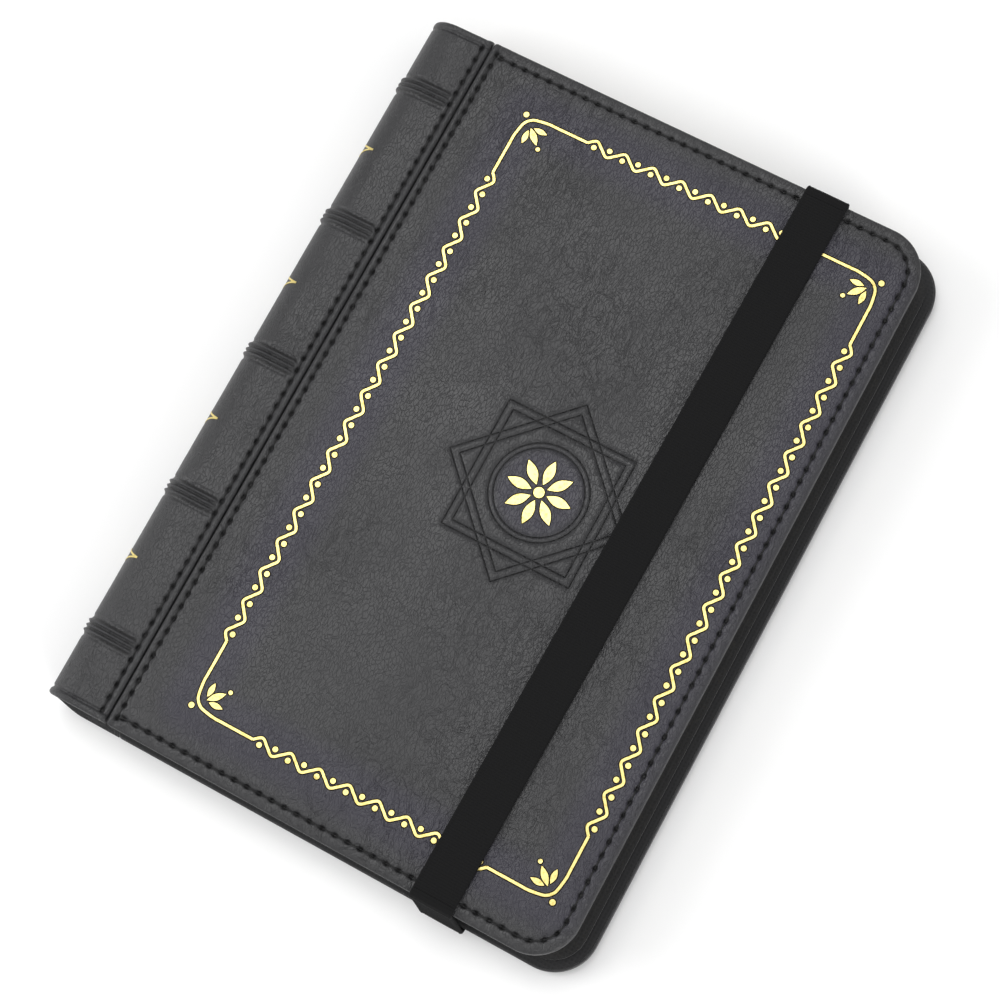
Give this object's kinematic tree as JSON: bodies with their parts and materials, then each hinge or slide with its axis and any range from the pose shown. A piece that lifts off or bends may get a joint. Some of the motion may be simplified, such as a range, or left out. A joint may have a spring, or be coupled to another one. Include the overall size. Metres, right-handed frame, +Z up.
{
  "type": "pilot logbook",
  "caption": "Closed pilot logbook in a stitched padded black leatherette cover with a rounded banded spine, gold foil border and elastic closing strap.",
  "frame": {"origin": "middle of the outline, on the surface that the back cover lies on", "axes": "+X from the spine to the fore-edge, +Y from the tail to the head, +Z up out of the front cover"},
  "size_m": [0.1606, 0.2204, 0.0216],
  "materials": {
    "leatherette": "semi-gloss black polyurethane leatherette with a fine crackled grain",
    "foam": "soft grey padding foam, sealed inside the cover",
    "greyboard": "matte grey binder's board",
    "lining": "matte black woven lining",
    "thread": "black waxed sewing thread",
    "stiffener": "matte black plastic strip",
    "gold_foil": "pale gold hot-stamped foil",
    "elastic": "matte black ribbed elastic webbing",
    "paper": "matte cream ledger paper",
    "card": "matte dark blue card",
    "spine_cloth": "matte black bookbinding cloth",
    "linen_thread": "matte natural linen thread"
  },
  "bodies": {
    "back_cover": {"back_cover_leather": "leatherette", "back_cover_foam": "foam", "back_cover_board": "greyboard", "back_cover_lining": "lining", "back_edge_stitching": "thread", "back_seam_stitching": "thread", "back_pocket": "lining", "rear_card": "card", "leaf_section_4": "paper", "spine_tape": "spine_cloth", "sewing_thread": "linen_thread", "strap_arm_head": "elastic", "strap_arm_tail": "elastic"},
    "spine": {"spine_leather": "leatherette", "spine_stiffener": "stiffener", "spine_lining": "lining", "spine_foil_mark_1": "gold_foil", "spine_foil_mark_2": "gold_foil", "spine_foil_mark_3": "gold_foil", "spine_foil_mark_4": "gold_foil"},
    "front_cover": {"front_cover_leather": "leatherette", "front_cover_foam": "foam", "front_cover_board": "greyboard", "front_cover_lining": "lining", "front_edge_stitching": "thread", "front_seam_stitching": "thread", "front_pocket": "lining", "foil_border": "gold_foil", "foil_rosette": "gold_foil"},
    "front_card": {"front_card": "card"},
    "first_leaves": {"leaf_section_1": "paper"},
    "second_leaves": {"leaf_section_2": "paper"},
    "third_leaves": {"leaf_section_3": "paper"},
    "strap": {"strap_run": "elastic"}
  },
  "joints": [
    {"name": "spine_turn", "type": "hinge", "parent": "back_cover", "child": "spine", "pos_m": [-0.07753, 0, 0.00272], "axis": [0, -1, 0], "range_deg": [0, 90], "deforming": ["spine_leather", "spine_lining", "spine_foil_mark_1", "spine_foil_mark_2", "spine_foil_mark_3", "spine_foil_mark_4", "strap_run", "strap_arm_head", "strap_arm_tail"]},
    {"name": "front_cover_turn", "type": "hinge", "parent": "spine", "child": "front_cover", "pos_m": [-0.07753, 0, 0.01728], "axis": [0, -1, 0], "range_deg": [0, 90]},
    {"name": "front_card_turn", "type": "hinge", "parent": "back_cover", "child": "front_card", "pos_m": [-0.07595, 0, 0.01], "axis": [0, -1, 0], "range_deg": [0, 180], "deforming": ["spine_tape", "sewing_thread"]},
    {"name": "first_leaves_turn", "type": "hinge", "parent": "back_cover", "child": "first_leaves", "pos_m": [-0.07595, 0, 0.01], "axis": [0, -1, 0], "range_deg": [0, 180]},
    {"name": "second_leaves_turn", "type": "hinge", "parent": "back_cover", "child": "second_leaves", "pos_m": [-0.07595, 0, 0.01], "axis": [0, -1, 0], "range_deg": [0, 178]},
    {"name": "third_leaves_lift", "type": "hinge", "parent": "back_cover", "child": "third_leaves", "pos_m": [-0.07595, 0, 0.01], "axis": [0, -1, 0], "range_deg": [0, 1.5]},
    {"name": "strap_swing", "type": "hinge", "parent": "back_cover", "child": "strap", "pos_m": [0.0583, 0, -0.0073], "axis": [0, 1, 0], "range_deg": [0, 90]}
  ],
  "couplings": [
    {"joint": "front_cover_turn", "follows": "spine_turn", "ratio": 1},
    {"joint": "front_card_turn", "follows": "spine_turn", "ratio": 2},
    {"joint": "first_leaves_turn", "follows": "spine_turn", "ratio": 2},
    {"joint": "second_leaves_turn", "follows": "spine_turn", "ratio": 1.9777},
    {"joint": "third_leaves_lift", "follows": "spine_turn", "ratio": 0.01666}
  ]
}
